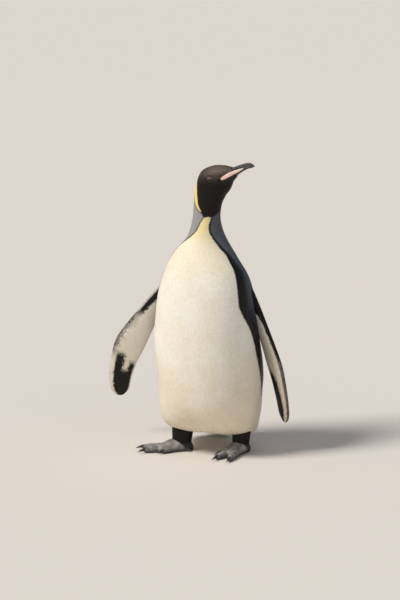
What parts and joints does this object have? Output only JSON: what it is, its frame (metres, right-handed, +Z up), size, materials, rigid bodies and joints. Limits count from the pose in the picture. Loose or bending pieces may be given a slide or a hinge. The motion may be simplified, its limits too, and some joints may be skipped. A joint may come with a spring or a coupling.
{
  "type": "king penguin model",
  "caption": "Life-size king penguin standing on both feet, head turned to its left, flippers held a little away from the body.",
  "frame": {"origin": "on the floor at height 0, below the middle of the bounding box, near the point between the heels", "axes": "+Z up, -Y the way the bird's breast faces, +X the bird's left, where its head and bill point"},
  "size_m": [0.577, 0.3252, 0.8712],
  "materials": {
    "body_plumage": "close cream-white belly feathers, slate and black on the back",
    "hood_plumage": "short brown-black head feathers with a faint silky sheen",
    "dark_plumage": "stiff scale-like black feathers, white below with a mottled black edge",
    "leg_plumage": "short dark brown feathers",
    "foot_skin": "dry grey scaly skin",
    "claw_horn": "dark horn, worn at the points",
    "bill_horn": "dark grey horn, satin, slightly scuffed",
    "bill_plate": "smooth pale pink horn plate",
    "eye": "wet dark brown eye"
  },
  "bodies": {
    "root": {"trunk": "body_plumage", "neck": "body_plumage", "head": "hood_plumage", "tail": "dark_plumage", "flipper_left": "dark_plumage", "flipper_right": "dark_plumage", "leg_left": "leg_plumage", "leg_right": "leg_plumage", "foot_left": "foot_skin", "foot_right": "foot_skin", "claw_inner_left": "claw_horn", "claw_middle_left": "claw_horn", "claw_outer_left": "claw_horn", "claw_hind_left": "claw_horn", "claw_inner_right": "claw_horn", "claw_middle_right": "claw_horn", "claw_outer_right": "claw_horn", "claw_hind_right": "claw_horn", "bill_upper": "bill_horn", "bill_lower": "bill_horn", "plate_left": "bill_plate", "plate_right": "bill_plate", "eye_left": "eye", "eye_right": "eye"}
  },
  "joints": []
}
